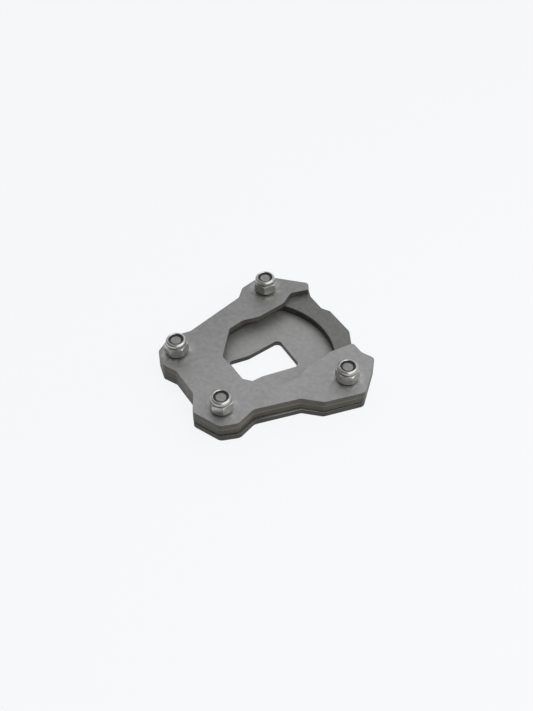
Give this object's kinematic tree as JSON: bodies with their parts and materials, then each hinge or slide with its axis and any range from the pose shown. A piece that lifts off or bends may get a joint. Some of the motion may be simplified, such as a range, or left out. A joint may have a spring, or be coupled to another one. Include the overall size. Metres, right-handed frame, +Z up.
{
  "type": "side stand foot enlarger",
  "caption": "Flat stack of cut steel plates with a pocket and a fork-shaped clamp on top, bolted together by countersunk screws and tall lock nuts, that widens a motorcycle's side stand foot.",
  "frame": {"origin": "on the ground plane under the middle of the outline", "axes": "+Z up through the stack, +Y towards the open end of the fork, where the stand's leg comes out, +X to the right seen from above"},
  "size_m": [0.0938, 0.0924, 0.0187],
  "materials": {
    "plate_steel": "tumbled satin stainless steel with browned cut edges",
    "screw_steel": "plain stainless steel",
    "nut_steel": "bright stainless steel",
    "ring_nylon": "dark nylon"
  },
  "bodies": {
    "root": {"base_plate": "plate_steel", "spacer_plate": "plate_steel", "clamp_plate": "plate_steel", "screw_toe_left": "screw_steel", "screw_toe_right": "screw_steel", "screw_rear_left": "screw_steel", "screw_rear_right": "screw_steel", "nut_toe_left": "nut_steel", "nut_toe_right": "nut_steel", "nut_rear_left": "nut_steel", "nut_rear_right": "nut_steel", "lock_ring_toe_left": "ring_nylon", "lock_ring_toe_right": "ring_nylon", "lock_ring_rear_left": "ring_nylon", "lock_ring_rear_right": "ring_nylon"}
  },
  "joints": []
}
